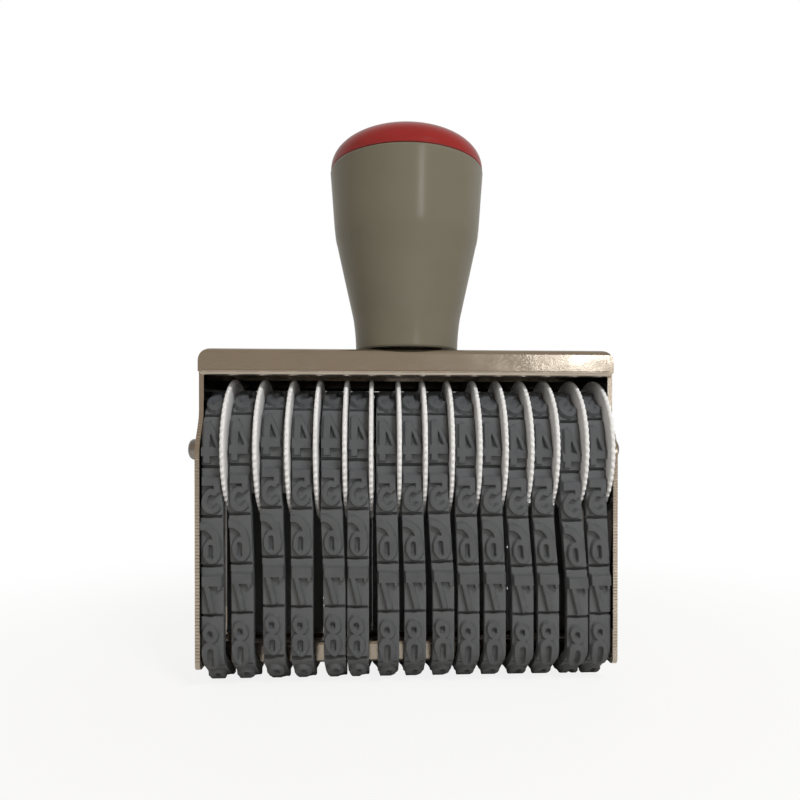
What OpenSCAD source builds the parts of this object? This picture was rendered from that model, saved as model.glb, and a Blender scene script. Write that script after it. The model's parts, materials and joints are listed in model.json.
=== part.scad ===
// Numbering machine: a hand stamp with a row of rubber number bands.
// Each band runs round a drum on the axle and round a platen at the bottom.
// A serrated setting wheel beside each drum turns it, which feeds the band along.
// Millimetres. X runs along the axle, -Y is the front, +Z is up.
// Z = 0 is the printing face, under the middle of the platen.

/* [Row] */
// Number of bands, each with its own setting wheel
wheel_count = 15; // [4:1:18]
// Characters carried by each band
char_count = 14; // [12:1:16]
// Length of free play along the axle, shared out between the wheels
side_play = 7.0; // [3:0.1:12]
// Smallest gap between neighbouring wheels
wheel_gap = 0.1; // [0.05:0.05:0.3]

/* [Bands] */
// Width of a rubber band
band_w = 4.2; // [3:0.05:8]
// Thickness of the band's plain base
base_t = 1.0; // [0.6:0.1:1.6]
// Height of a character block above the base
block_t = 2.0; // [1.2:0.1:2.8]
// Width of the cut between two blocks
cut_w = 0.4; // [0.2:0.05:1]
// Gap between the band and the platen
platen_gap = 0.1; // [0.05:0.05:0.3]
// Gap between the band and the turning drum
drum_gap = 0.3; // [0.2:0.05:0.6]
// Slope of the band between the platen's edge and its knee, in degrees
flank_slope = 34; // [20:1:50]
// Inner radius of the knee, where the band turns upright
knee_r = 1.5; // [1:0.1:4]

/* [Setting wheels] */
// Radius of the serrated disc, over its teeth
disc_r = 15.5; // [14:0.1:20]
// Thickness of the serrated disc
disc_t = 0.95; // [0.7:0.05:1.6]
// Number of teeth round the disc
tooth_count = 66; // [40:1:90]
// Depth of a tooth
tooth_h = 0.35; // [0.2:0.05:0.8]
// Radius of the drum that carries the band
drum_r = 9.8; // [8:0.1:11.5]
// Number of grip flutes along the drum
flute_count = 26; // [12:1:40]
// Depth of a flute
flute_h = 0.4; // [0.2:0.05:0.8]
// Wall of the drum and of its ribs
drum_wall = 1.3; // [0.8:0.1:2]
// Outer radius of the hub
hub_r = 3.9; // [3:0.1:5]
// Side clearance of a band on its drum
band_side = 0.05; // [0.02:0.01:0.2]

/* [Axle] */
// Height of the axle above the printing face
axle_z = 49.8; // [40:0.1:62]
// Radius of the axle rod
axle_r = 2.3; // [1.5:0.1:2.8]
// Running clearance of the hubs on the axle, on the radius
run_clear = 0.05; // [0.02:0.01:0.1]
// Length of rod that stands out beyond each nut
axle_tip = 2.5; // [0.8:0.1:4]
// Size of an axle nut across its flats
nut_flats = 7.2; // [6:0.1:9]
// Thickness of an axle nut
nut_t = 2.2; // [1.6:0.1:5]

/* [Frame] */
// Thickness of the frame's sheet
sheet_t = 1.0; // [0.8:0.1:1.5]
// Free height between the wheels and the underside of the frame's top
head_room = 4.7; // [4:0.1:8]
// Half depth of the frame's top, over its skirts
skirt_y = 10.5; // [9.5:0.1:12.5]
// Height of the front skirt
skirt_h = 5.7; // [3.5:0.1:6.5]
// How much deeper the back skirt is, which closes the view over the drums
back_drop = 1.7; // [0:0.1:2.2]
// Half depth of the side walls below the axle
wall_y = 13.0; // [11:0.1:16]
// Height of the side walls' lower edge above the printing face
wall_z = 4.4; // [3:0.1:5]
// Radius of the frame's top corners, seen from the front
corner_r = 2.7; // [1.6:0.1:4]
// Radius of the bend between top and skirt
bend_r = 1.2; // [1.05:0.05:2]
// Radius of the side walls' lower corners
foot_r = 1.5; // [1:0.1:4]
// Height over which the side walls widen, above the axle
flare_h = 9.3; // [5:0.1:12]

/* [Platen] */
// Depth of the platen, front to back
platen_d = 9.1; // [7:0.1:12]
// Height of the platen's upright sides
platen_h = 4.8; // [3.5:0.1:8]
// Thickness of the platen's sheet
platen_t = 1.0; // [0.8:0.1:1.5]
// Radius of the edges that the bands run over
platen_r = 0.9; // [0.6:0.1:1.5]
// Depth of the lips that are folded inwards at the platen's top
lip_d = 2.8; // [1.5:0.1:3.4]
// Height of the tabs that hold the platen in the side walls
tab_h = 1.9; // [1.2:0.1:2.2]
// Distance from the platen's top down to the middle of its tabs
tab_drop = 1.4; // [1.2:0.1:1.8]
// Clearance of a tab in its slot
tab_clear = 0.05; // [0.02:0.01:0.15]

/* [Handle] */
// Thickness of the washer under the handle
washer_t = 0.6; // [0.4:0.1:1.5]
// Radius of the washer under the handle
washer_r = 8.0; // [6:0.1:9]
// Radius of the handle's foot
grip_foot_r = 11.4; // [9.8:0.1:14]
// Radius of the handle's waist, where its cone starts
grip_waist_r = 11.7; // [9.8:0.1:15]
// Height of the waist above the handle's foot
grip_waist_z = 5.7; // [4:0.1:8]
// Radius of the handle's shoulder
grip_shoulder_r = 15.9; // [12:0.1:20]
// Height of the shoulder above the handle's foot
grip_shoulder_z = 25.0; // [20:0.1:32]
// Radius of the handle's rim
grip_rim_r = 17.05; // [13:0.05:22]
// Height of the rim above the handle's foot
grip_rim_z = 40.8; // [33:0.1:50]
// Wall of the hollow handle
grip_wall = 2.2; // [1.6:0.1:3]
// Height of the solid bottom of the handle
grip_floor = 7.2; // [4:0.1:10]
// Height of the dome of the cap
cap_h = 7.6; // [6:0.1:16]
// Wall of the cap
cap_wall = 1.8; // [1.2:0.1:3]
// Depth of the cap's spigot inside the handle
spigot_h = 4.0; // [2:0.1:8]
// Clearance of the spigot in the handle
spigot_clear = 0.1; // [0.05:0.05:0.3]
// Radius of the handle screw's shank
screw_r = 2.5; // [2:0.1:3]
// Radius of the handle screw's head
screw_head_r = 4.5; // [3.5:0.1:5.5]
// Height of the handle screw's head
screw_head_h = 2.6; // [1.5:0.1:3.2]
// Length of thread that the screw has inside the handle
screw_grip = 16.0; // [10:0.5:18]

/* [Hidden] */
// Share of the side play that lies before each wheel, and after the last one
play_share = [0, 22, 19, 8, 11, 1, 9, 0, 4, 6, 1, 0, 1, 13, 2, 2];
// How far each band's first block stands forward of the platen's middle
creep = [5.3, 5.8, 7.1, 6.9, 6.9, 6.7, 5.7, 5.7, 5.8, 5.2, 5.3, 4.8, 5, 4.1, 4.7];

arc_steps = 8;
bend_steps = 5;
block_steps = 12;
slip = 0.01;

drum_len = band_w + 2 * band_side;
unit_len = drum_len + disc_t;
wall_in = (wheel_count * unit_len + side_play) / 2;
wall_out = wall_in + sheet_t;
frame_top = axle_z + disc_r + head_room + sheet_t;
skirt_z = frame_top - skirt_h;
hem_r = 0.8 * sheet_t;
wall_y_top = skirt_y - sheet_t;
flare_z = axle_z - 1;

band_t = base_t + block_t;
platen_z = band_t + platen_gap;
axle_len = 2 * (wall_out + nut_t + axle_tip);
bore_r = axle_r + run_clear;

foot_z = frame_top + washer_t;
rim_z = foot_z + grip_rim_z;

// Wheel positions: the smallest gap everywhere, plus a share of what play is left
share_sum = sum([for (i = [0:wheel_count]) share(i)]);
free_play = side_play - (wheel_count + 1) * wheel_gap;

function share(i) = i < wheel_count ? play_share[i % (len(play_share) - 1)] : play_share[len(play_share) - 1];
function sum(list, i = 0) = i < len(list) ? list[i] + sum(list, i + 1) : 0;
function gap_before(i) = wheel_gap + free_play * share(i) / share_sum;
function wheel_x(k) = -wall_in + k * unit_len + sum([for (i = [0:k]) gap_before(i)]);

// A band's loop, by length along the middle of its base.
// It starts under the platen's centre, rises from the platen's edge to the knee and runs up to the drum.
mid = base_t / 2;
edge_r = platen_r + platen_gap;
edge_y = platen_d / 2 - platen_r;
edge_z = platen_z + platen_r;
seat_r = drum_r + drum_gap;
turn = 90 - flank_slope;
flank_start = [edge_y, edge_z] + polar(edge_r, -turn);
knee_cut = knee_r * tan(turn / 2);
knee_y = seat_r - knee_r;
knee_z = flank_start.y + (seat_r - flank_start.x) * tan(flank_slope) + knee_cut;
edge_end = edge_y + (edge_r + mid) * flank_slope * PI / 180;
flank_end = edge_end + (seat_r - flank_start.x) / cos(flank_slope) - knee_cut;
knee_end = flank_end + (knee_r + mid) * turn * PI / 180;
run_end = knee_end + axle_z - knee_z;
half_loop = run_end + (seat_r + mid) * PI / 2;
loop_len = 2 * half_loop;
pitch = loop_len / char_count;

function polar(r, a) = [r * cos(a), r * sin(a)];
function arc(c, r, a0, a1, n = arc_steps) = [for (i = [0:n]) c + polar(r, a0 + (a1 - a0) * i / n)];
function mirrored(pts) = concat(pts, [for (i = [len(pts) - 1:-1:0]) [-pts[i].x, pts[i].y]]);
function bezier(a, b, c, n = bend_steps) =
    [for (i = [0:n]) a * (1 - i / n) ^ 2 + b * 2 * (i / n) * (1 - i / n) + c * (i / n) ^ 2];

// Point of the front half of the loop at length s, and out from the band's inner face by off
function on_half(s, off) =
    s <= edge_y ? [s, edge_z - edge_r - off] :
    s <= edge_end ?
        [edge_y, edge_z] + polar(edge_r + off, -90 + (s - edge_y) / (edge_r + mid) * 180 / PI) :
    s <= flank_end ?
        [edge_y, edge_z] + polar(edge_r + off, -turn) + polar(s - edge_end, flank_slope) :
    s <= knee_end ?
        [knee_y, knee_z] + polar(knee_r + off, -turn + (s - flank_end) / (knee_r + mid) * 180 / PI) :
    s <= run_end ? [seat_r + off, knee_z + s - knee_end] :
        [0, axle_z] + polar(seat_r + off, (s - run_end) / (seat_r + mid) * 180 / PI);

function wrap(s) = s - loop_len * floor(s / loop_len);
function on_loop(s, off) =
    wrap(s) <= half_loop ? on_half(wrap(s), off)
        : [-on_half(loop_len - wrap(s), off).x, on_half(loop_len - wrap(s), off).y];

// Outline of the blocks: a stepped curve, one block at a time
function block_outline(start) =
    [for (b = [0:char_count - 1]) each block_points(start + b * pitch)];
function block_points(s) = concat(
    [on_loop(s - pitch / 2 + cut_w / 2, base_t)],
    [for (i = [0:block_steps])
        on_loop(s + (i / block_steps - 0.5) * (pitch - cut_w), band_t)],
    [on_loop(s + pitch / 2 - cut_w / 2, base_t)]);
function inner_outline() =
    let (n = char_count * block_steps) [for (i = [0:n - 1]) on_loop(i * loop_len / n, 0)];

// Teeth: each has a root, two flanks and a land
function toothed(n, r_root, r_tip) =
    [for (i = [0:n - 1], p = [[0.12, r_root], [0.36, r_tip], [0.64, r_tip], [0.88, r_root]])
        polar(p[1], (i + p[0]) * 360 / n)];

// Extrusions: a front view pushed along Y, and a side view (front to the right) pushed along X
module along_y(depth) rotate([90, 0, 0]) linear_extrude(depth, center = true) children();
module along_x(x0, x1) translate([x0, 0, 0]) mirror([0, 1, 0]) rotate([90, 0, 90])
    linear_extrude(x1 - x0) children();

// ---- Frame ----

// A tray with rounded edges, smaller all round by inset, down to z0 in front and lower at the back
module hood(inset, z0) {
    half_x = wall_out - inset;
    half_y = skirt_y - inset;
    top = frame_top - inset;
    r_x = corner_r - inset;
    r_y = bend_r - inset;
    bend = arc([half_y - r_y, top - r_y], r_y, 0, 90);
    intersection() {
        along_y(4 * skirt_y)
            polygon(mirrored(concat([[half_x, z0 - back_drop]], arc([half_x - r_x, top - r_x], r_x, 0, 90))));
        along_x(-half_x, half_x) {
            polygon(mirrored(concat([[half_y, z0]], bend)));
            translate([-half_y, z0 - back_drop]) square([half_y, back_drop + slip]);
        }
    }
}

// The lower edge of a skirt at height z, folded back on itself
module hem(z) {
    y0 = skirt_y - hem_r;
    along_x(-wall_in - sheet_t / 2, wall_in + sheet_t / 2)
        polygon(concat(arc([y0, z + hem_r], hem_r, 0, -180), [[y0 - hem_r, z + 3 * hem_r],
            [skirt_y, z + 3 * hem_r]]));
}

// Side wall: narrow under the skirts, then widening to shelter the bands
module side_wall() {
    flare = [for (i = [0:arc_steps])
        let (t = i / arc_steps)
        [wall_y + (wall_y_top - wall_y) * (1 - cos(180 * t)) / 2, flare_z + flare_h * t]];
    difference() {
        along_x(wall_in, wall_out)
            polygon(mirrored(concat(arc([wall_y - foot_r, wall_z + foot_r], foot_r, -90, 0),
                flare, [[wall_y_top, frame_top - corner_r]])));
        translate([0, 0, axle_z]) rotate([0, 90, 0])
            cylinder(r = axle_r + run_clear, h = wall_out + 1, $fn = 48);
        for (side = [-1, 1])
            tab(side, wall_in - 1, wall_out + 1, tab_clear);
    }
}

module frame() color("#8f8474") {
    difference() {
        hood(0, skirt_z + hem_r);
        hood(sheet_t, skirt_z - 1);
        translate([0, 0, frame_top - 2 * sheet_t])
            cylinder(r = screw_r + run_clear, h = 3 * sheet_t, $fn = 48);
    }
    hem(skirt_z);
    mirror([0, 1, 0]) hem(skirt_z - back_drop);
    for (side = [0, 1])
        mirror([side, 0, 0]) side_wall();
}

// ---- Platen ----

// One tab of the platen, at the front (side 1) or the back (side -1)
module tab(side, x0, x1, clear) {
    y_mid = side * (platen_d - platen_t) / 2;
    z_mid = platen_z + platen_h - tab_drop;
    for (end = [0, 1]) mirror([end, 0, 0])
        translate([x0, -y_mid - platen_t / 2 - clear, z_mid - tab_h / 2 - clear])
            cube([x1 - x0, platen_t + 2 * clear, tab_h + 2 * clear]);
}

module platen() color("#9a9184") {
    in_y = platen_d / 2 - platen_t;
    top = platen_z + platen_h;
    lip_y = platen_d / 2 - lip_d;
    length = wall_in - tab_clear;
    along_x(-length, length)
        polygon(mirrored(concat(arc([edge_y, edge_z], platen_r, -90, 0),
            arc([platen_d / 2 - platen_t, top - platen_t], platen_t, 0, 90),
            [[lip_y, top], [lip_y, top - platen_t], [in_y, top - platen_t], [in_y, platen_z + platen_t]])));
    for (side = [-1, 1])
        tab(side, length - 1, wall_out, 0);
}

// ---- Axle ----

module axle() color("#b4b0a8") {
    dome = axle_tip * 0.6;
    end = [for (p = bezier([axle_r, 0], [axle_r, dome], [0, dome])) [p.x, axle_len / 2 - dome + p.y]];
    translate([0, 0, axle_z]) rotate([0, 90, 0]) rotate_extrude($fn = 64)
        polygon(concat(end, [for (i = [len(end) - 1:-1:0]) [end[i].x, -end[i].y]]));
}

module axle_nut(side) color("#a9a49a")
    mirror([side < 0 ? 1 : 0, 0, 0]) translate([wall_out, 0, axle_z]) rotate([0, 90, 0])
        difference() {
            intersection() {
                cylinder(d = nut_flats / cos(30), h = nut_t, $fn = 6);
                cylinder(r1 = nut_flats / 2 + nut_t, r2 = nut_flats / 2, h = nut_t + 0.2, $fn = 64);
            }
            translate([0, 0, -1]) cylinder(r = axle_r + slip, h = nut_t + 2, $fn = 48);
        }

// ---- Setting wheels ----

module wheel(k) color("#d2d1cb")
    translate([wheel_x(k), 0, axle_z]) rotate([0, 90, 0]) difference() {
        union() {
            translate([0, 0, drum_len]) linear_extrude(disc_t)
                polygon(toothed(tooth_count, disc_r - tooth_h, disc_r));
            linear_extrude(drum_len) {
                difference() {
                    polygon(toothed(flute_count, drum_r - flute_h, drum_r));
                    circle(r = drum_r - flute_h - drum_wall, $fn = 64);
                }
                circle(r = hub_r, $fn = 48);
                for (a = [0:60:300]) rotate(a) translate([hub_r - drum_wall / 2, -drum_wall / 2])
                    square([drum_r - flute_h - hub_r, drum_wall]);
            }
        }
        translate([0, 0, -1]) cylinder(r = bore_r, h = unit_len + 2, $fn = 48);
    }

// ---- Bands ----

module band(k) color("#565656")
    translate([wheel_x(k) + band_side, 0, 0])
        along_x(0, band_w) difference() {
            polygon(block_outline(creep[k % len(creep)]));
            polygon(inner_outline());
        }

// ---- Handle ----

module handle_washer() color("#2b2b2b")
    translate([0, 0, frame_top]) difference() {
        cylinder(r = washer_r, h = washer_t, $fn = 64);
        translate([0, 0, -1]) cylinder(r = screw_r + run_clear, h = washer_t + 2, $fn = 48);
    }

module handle() color("#7f7c69") {
    foot = [grip_foot_r, 0];
    waist = [grip_waist_r, grip_waist_z];
    shoulder = [grip_shoulder_r, grip_shoulder_z];
    rim = [grip_rim_r, grip_rim_z];
    soft = 0.15;
    crisp = 0.08;
    lip = 0.5;
    outer = concat(
        [foot],
        bezier(waist + (foot - waist) * 2 * soft, waist, waist + (shoulder - waist) * soft),
        bezier(shoulder + (waist - shoulder) * crisp, shoulder, shoulder + (rim - shoulder) * crisp),
        arc(rim - [lip, lip], lip, 0, 90, 3));
    in_wall = [grip_wall, 0];
    cavity_r = waist.x + (shoulder.x - waist.x) * (grip_floor - waist.y) / (shoulder.y - waist.y);
    inner = [rim - in_wall, shoulder - in_wall, [cavity_r - grip_wall, grip_floor],
        [boss_r(), grip_floor], [boss_r(), boss_z()], [screw_r, boss_z()], [screw_r, 0]];
    translate([0, 0, foot_z]) rotate_extrude($fn = 96) polygon(concat(outer, inner));
}

// Boss in the handle that the screw is driven into
function boss_r() = screw_r + grip_wall;
function boss_z() = screw_grip + 3;

module handle_cap() color("#b0302c") {
    seat = grip_rim_r - 0.1;
    skirt = 0.2;
    in_r = seat - cap_wall;
    spigot = grip_rim_r - grip_wall - spigot_clear;
    fall = (grip_rim_r - grip_shoulder_r) * spigot_h / (grip_rim_z - grip_shoulder_z);
    dome = [for (p = arc([0, 0], 1, 0, 90, 16)) [seat * p.x, skirt + (cap_h - skirt) * p.y]];
    under = [for (p = arc([0, 0], 1, 90, 0, 12))
        [(spigot - cap_wall) * p.x, skirt + (cap_h - skirt - cap_wall) * p.y]];
    translate([0, 0, rim_z]) rotate_extrude($fn = 96)
        polygon(concat([[seat, 0]], dome, under,
            [[spigot - cap_wall - fall, -spigot_h], [spigot - fall, -spigot_h], [spigot, 0]]));
}

module handle_screw() color("#8d8a84") {
    under_top = frame_top - sheet_t;
    reach = sheet_t + washer_t + screw_grip;
    round_r = 0.8;
    translate([0, 0, under_top]) rotate_extrude($fn = 64)
        polygon(concat([[0, -screw_head_h]],
            arc([screw_head_r - round_r, round_r - screw_head_h], round_r, -90, 0, 4),
            [[screw_head_r, 0], [screw_r - slip, 0], [screw_r - slip, reach - 1],
            [screw_r - 1, reach], [0, reach]]));
}

// ---- Parts list ----

function two_digits(k) = k < 10 ? str("0", k) : str(k);
function named(stem, k) = str(stem, "_", two_digits(k + 1));

frame();
platen();
axle();
axle_nut(-1);  // axle_nut_left
axle_nut(1);  // axle_nut_right
handle_washer();
handle_screw();
handle();
handle_cap();
for (k = [0:wheel_count - 1]) {
    wheel(k);
    band(k);
}
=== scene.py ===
# %% [markdown]
# # A numbering stamp, from frame to finish
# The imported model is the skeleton: where each piece is and how large it is. This lesson builds what the
# eye sees round it: number bands with raised characters, serrated setting wheels, a folded nickel-plated
# frame and a moulded handle with its red cap.
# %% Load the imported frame
import bmesh
import bpy
import json
import math
import numpy as np
from mathutils import Matrix, Vector


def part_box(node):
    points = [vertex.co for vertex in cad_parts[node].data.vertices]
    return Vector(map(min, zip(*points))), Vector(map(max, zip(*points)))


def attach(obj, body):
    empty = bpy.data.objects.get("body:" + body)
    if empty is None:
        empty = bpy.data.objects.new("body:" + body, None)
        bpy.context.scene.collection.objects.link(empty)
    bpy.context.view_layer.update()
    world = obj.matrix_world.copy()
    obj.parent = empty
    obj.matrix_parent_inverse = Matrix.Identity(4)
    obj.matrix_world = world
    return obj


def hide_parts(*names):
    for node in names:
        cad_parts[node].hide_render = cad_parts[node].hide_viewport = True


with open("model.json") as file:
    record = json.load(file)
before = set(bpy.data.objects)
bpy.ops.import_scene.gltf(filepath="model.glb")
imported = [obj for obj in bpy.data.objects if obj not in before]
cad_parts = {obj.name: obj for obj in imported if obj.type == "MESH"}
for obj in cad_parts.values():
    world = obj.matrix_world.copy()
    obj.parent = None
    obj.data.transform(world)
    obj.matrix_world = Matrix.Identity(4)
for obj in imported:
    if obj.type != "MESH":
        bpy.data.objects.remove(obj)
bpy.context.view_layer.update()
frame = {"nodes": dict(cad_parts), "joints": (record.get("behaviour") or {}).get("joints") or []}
MM = 0.001
ROOT = "stamp"

# %% [markdown]
# ## Measures
# Everything that can be read from the frame is read from it, so the looks follow the construction. The
# wheels are counted, the axle's height comes from the first joint, and a band's outer radius on its drum
# comes from its box. The rest are the sizes that a maker would have on the drawing, in millimetres.
# %% Measure the frame
WHEELS = sorted(n for n in frame["nodes"] if n.startswith("wheel_"))
BANDS = sorted(n for n in frame["nodes"] if n.startswith("band_"))
AXLE_Z = frame["joints"][0]["pos_m"][2] / MM


def size_of(node):
    """Lowest and highest corner of a CAD node, in millimetres."""
    low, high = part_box(node)
    return low / MM, high / MM


WALL_OUT = size_of("frame")[1].x
SHEET = 1.0
WALL_IN = WALL_OUT - SHEET
FRAME_TOP = size_of("frame")[1].z
DISC_R = size_of(WHEELS[0])[1].z - AXLE_Z
BAND_OUT_R = size_of(BANDS[0])[1].z - AXLE_Z
print(len(WHEELS), "wheels of radius", round(DISC_R, 2), "on an axle at", round(AXLE_Z, 2))

# %% [markdown]
# ## Small tools
# Colours are written as sRGB hex, as a paint chart gives them, and one function turns them to the linear
# values that a shader wants. One more adds a node, sets it up and links it, so that a node tree reads like
# a list of steps.
# %% Colour and node helpers


def linear(hex_colour):
    """sRGB hex such as a83230 to linear RGBA."""
    parts = [int(hex_colour[i:i + 2], 16) / 255 for i in (0, 2, 4)]
    return [c / 12.92 if c <= 0.04045 else ((c + 0.055) / 1.055) ** 2.4 for c in parts] + [1.0]


def plug(tree, node, inputs):
    """Fills a node's inputs with values or with other nodes' sockets."""
    for key, value in inputs.items():
        if isinstance(value, bpy.types.NodeSocket):
            tree.links.new(value, node.inputs[key])
        else:
            node.inputs[key].default_value = value


def add_node(tree, kind, inputs=None, **settings):
    """Adds a node, sets its properties and fills its inputs."""
    node = tree.nodes.new(kind)
    for name, value in settings.items():
        setattr(node, name, value)
    plug(tree, node, inputs or {})
    return node


print("paint of middle grey, 808080, is", round(linear("808080")[0], 3), "to a shader")

# %% [markdown]
# Every piece ends as a mesh with outward faces, in an object at the origin. One helper makes that from points,
# one joins parts that are one moulding, and the last one gives the piece the body that it moves with and its
# material, and hides the nodes of the frame that it stands for.
# %% Mesh helpers


def placed(name, data):
    """An object at the origin that holds this data, put in the scene."""
    made = bpy.data.objects.new(name, data)
    bpy.context.scene.collection.objects.link(made)
    return made


def mesh_object(name, points_mm, faces, smooth_degrees=35):
    """An object at the origin from points in millimetres, smooth where faces meet at a small angle."""
    mesh = bpy.data.meshes.new(name)
    mesh.from_pydata((np.array(points_mm, float) * MM).tolist(), [], faces)
    tidy_mesh(mesh, smooth_degrees)
    return placed(name, mesh)


def tidy_mesh(mesh, smooth_degrees=35):
    """Merges doubles, turns faces outwards and marks sharp edges."""
    work = bmesh.new()
    work.from_mesh(mesh)
    bmesh.ops.remove_doubles(work, verts=work.verts, dist=0.0005 * MM)
    bmesh.ops.recalc_face_normals(work, faces=work.faces)
    work.to_mesh(mesh)
    work.free()
    mesh.shade_smooth()
    mesh.set_sharp_from_angle(angle=math.radians(smooth_degrees))


def joined(name, parts):
    """One object from several, each keeping its shape, for pieces that are one moulding."""
    work = bmesh.new()
    for part in parts:
        work.from_mesh(part.data)
    mesh = bpy.data.meshes.new(name)
    work.to_mesh(mesh)
    work.free()
    for part in parts:
        bpy.data.objects.remove(part)
    return placed(name, mesh)


def dress(piece, body, slot, material, *nodes):
    """Gives a finished piece its body and its material, and hides the CAD nodes that it stands for. The slot
    is not used.
    """
    piece.data.materials.clear()
    piece.data.materials.append(material)
    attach(piece, body)
    if nodes:
        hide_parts(*nodes)
    print(piece.name, "is", material.name, "and rides on", body)


# %% [markdown]
# ## Camera
# The machine stands at eye height: the lens is level with the axle and a hand's width away, and the view is
# turned a little to the right. A lens of 30 mm on a 36 mm sensor gives the strong perspective that shows
# the inner faces of the outer wheels.
# %% Set the camera
EYE = Vector((-6.55, -151.95, 50.52)) * MM
YAW, PITCH = math.radians(-2.78), math.radians(89.67)
LENS, SENSOR = 30.23, 36.0
SHIFT_X, SHIFT_Y, NEAREST = -0.0129, 0.0625, 0.01
camera_data = bpy.data.cameras.new("camera")
camera_data.lens = LENS
camera_data.sensor_width = SENSOR
camera_data.shift_x = SHIFT_X
camera_data.shift_y = SHIFT_Y
camera_data.clip_start = NEAREST
camera = placed("camera", camera_data)
camera.location = EYE
camera.rotation_euler = (PITCH, 0, YAW)
bpy.context.scene.camera = camera
print("the lens is", round(-EYE.y / MM), "mm in front of the axle")

# %% [markdown]
# ## Materials
# Each one starts from the real stuff. A procedural texture gives it the small unevenness that keeps a
# surface from looking like paint on glass, and its scale comes from a real size in millimetres: a noise of
# scale 1 / grain has blobs about one grain across.
# %% A base for materials


def material(name, colour, roughness, metallic=0.0):
    """A material with a Principled shader, with its tree, its shader and its object coordinates."""
    made = bpy.data.materials.new(name)
    made.use_nodes = True
    tree = made.node_tree
    shader = tree.nodes["Principled BSDF"]
    plug(tree, shader, {"Base Color": linear(colour), "Roughness": roughness, "Metallic": metallic})
    print("material:", name)
    return made, tree, shader, add_node(tree, "ShaderNodeTexCoord").outputs["Object"]


# %% [markdown]
# Vulcanised rubber is matt and dark grey. The relief height, stored on the mesh, darkens the raised faces a
# little in patches. That is painted shade, which evens them with the low ground, where the light is weaker.
# Fine grain breaks the light.
# %% Vulcanised rubber
rubber, tree, shader, place = material("vulcanised rubber", "54575a", 0.6)
relief_height = add_node(tree, "ShaderNodeAttribute", attribute_name="relief")
patches = add_node(tree, "ShaderNodeTexNoise", {"Vector": place, "Scale": 1 / (2.5 * MM), "Detail": 3.0})
# painted shade: the raised faces are darkened a little, in patches, to even them with the low ground
wear_and_face_shade = add_node(tree, "ShaderNodeMath", {
    0: relief_height.outputs["Fac"], 1: patches.outputs["Fac"]}, operation="MULTIPLY")
grey = add_node(tree, "ShaderNodeMix", {0: wear_and_face_shade.outputs[0], 6: linear("616467"), 7: linear("4f5255")},
                data_type="RGBA")
grain = add_node(tree, "ShaderNodeTexNoise", {"Vector": place, "Scale": 1 / (0.22 * MM), "Detail": 4.0})
bump = add_node(tree, "ShaderNodeBump", {
    "Height": grain.outputs["Fac"], "Distance": 0.05 * MM, "Strength": 0.4})
plug(tree, shader, {"Base Color": grey.outputs[2], "Normal": bump.outputs[0], "Specular IOR Level": 0.35})

# %% [markdown]
# The wheels are moulded in off-white nylon. It is satin, and light goes a little way into it, which keeps
# its shadows soft. Thumbs leave it slightly yellow, so two near whites are mixed in large patches.
# %% Moulded nylon
nylon, tree, shader, place = material("moulded off-white nylon", "d8d7d1", 0.45)
thumbed = add_node(tree, "ShaderNodeTexNoise", {"Vector": place, "Scale": 1 / (7 * MM), "Detail": 3.0})
white = add_node(tree, "ShaderNodeMix", {0: thumbed.outputs["Fac"], 6: linear("f6f8fa"), 7: linear("e9ebec")},
                 data_type="RGBA")
grain = add_node(tree, "ShaderNodeTexNoise", {"Vector": place, "Scale": 1 / (0.3 * MM), "Detail": 2.0})
bump = add_node(tree, "ShaderNodeBump", {
    "Height": grain.outputs["Fac"], "Distance": 0.02 * MM, "Strength": 0.4})
plug(tree, shader, {"Base Color": white.outputs[2], "Normal": bump.outputs[0]})

# %% [markdown]
# The frame is mild steel with a thin nickel plate. Nickel is warmer than chrome. The plate follows the
# rolled sheet below it, so reflections break up into a fine orange peel, and smears of handling change the
# gloss from place to place.
# %% Nickel plate on sheet steel
nickel, tree, shader, place = material("nickel plate on sheet steel", "cbc2b5", 0.25, 1.0)
smears = add_node(tree, "ShaderNodeTexNoise", {"Vector": place, "Scale": 1 / (6 * MM), "Detail": 5.0})
gloss = add_node(tree, "ShaderNodeMapRange", {
    "Value": smears.outputs["Fac"], "From Min": 0.35, "From Max": 0.65, "To Min": 0.15, "To Max": 0.26})
warm = add_node(tree, "ShaderNodeMix", {0: smears.outputs["Fac"], 6: linear("d3cbbf"), 7: linear("bcb1a2")},
                data_type="RGBA")
peel = add_node(tree, "ShaderNodeTexNoise", {"Vector": place, "Scale": 1 / (0.8 * MM), "Detail": 4.0})
bump = add_node(tree, "ShaderNodeBump", {
    "Height": peel.outputs["Fac"], "Distance": 0.03 * MM, "Strength": 0.6})

# %% [markdown]
# The inside of the hood is painted near black, as painted shade where little light reaches, so that it mirrors
# almost nothing. A piece's own coordinates say which points those are: between the walls, behind the skirts or
# below them, and above the platen. Each test gives 0 or 1. A maximum joins two of them with "or", and a
# product with "and".
# %% Painted shade inside the hood
HOOD_SIDE, HOOD_DEPTH, HOOD_TOP, HOOD_FOOT, SKIRT_FOOT = WALL_IN + 0.05, 9.46, FRAME_TOP - 0.9, 12, 60
apart = add_node(tree, "ShaderNodeVectorMath", {0: place}, operation="ABSOLUTE").outputs[0]
within = add_node(tree, "ShaderNodeSeparateXYZ", {0: apart}).outputs
narrow, shallow, below, above, under = [
    add_node(tree, "ShaderNodeMath", {0: within[axis], 1: limit * MM}, operation=test).outputs[0]
    for axis, limit, test in (("X", HOOD_SIDE, "LESS_THAN"), ("Y", HOOD_DEPTH, "LESS_THAN"),
                              ("Z", HOOD_TOP, "LESS_THAN"), ("Z", HOOD_FOOT, "GREATER_THAN"),
                              ("Z", SKIRT_FOOT, "LESS_THAN"))]
inside = add_node(tree, "ShaderNodeMath", {0: shallow, 1: under}, operation="MAXIMUM").outputs[0]
for limit in (narrow, below, above):
    inside = add_node(tree, "ShaderNodeMath", {0: inside, 1: limit}, operation="MULTIPLY").outputs[0]
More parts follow.
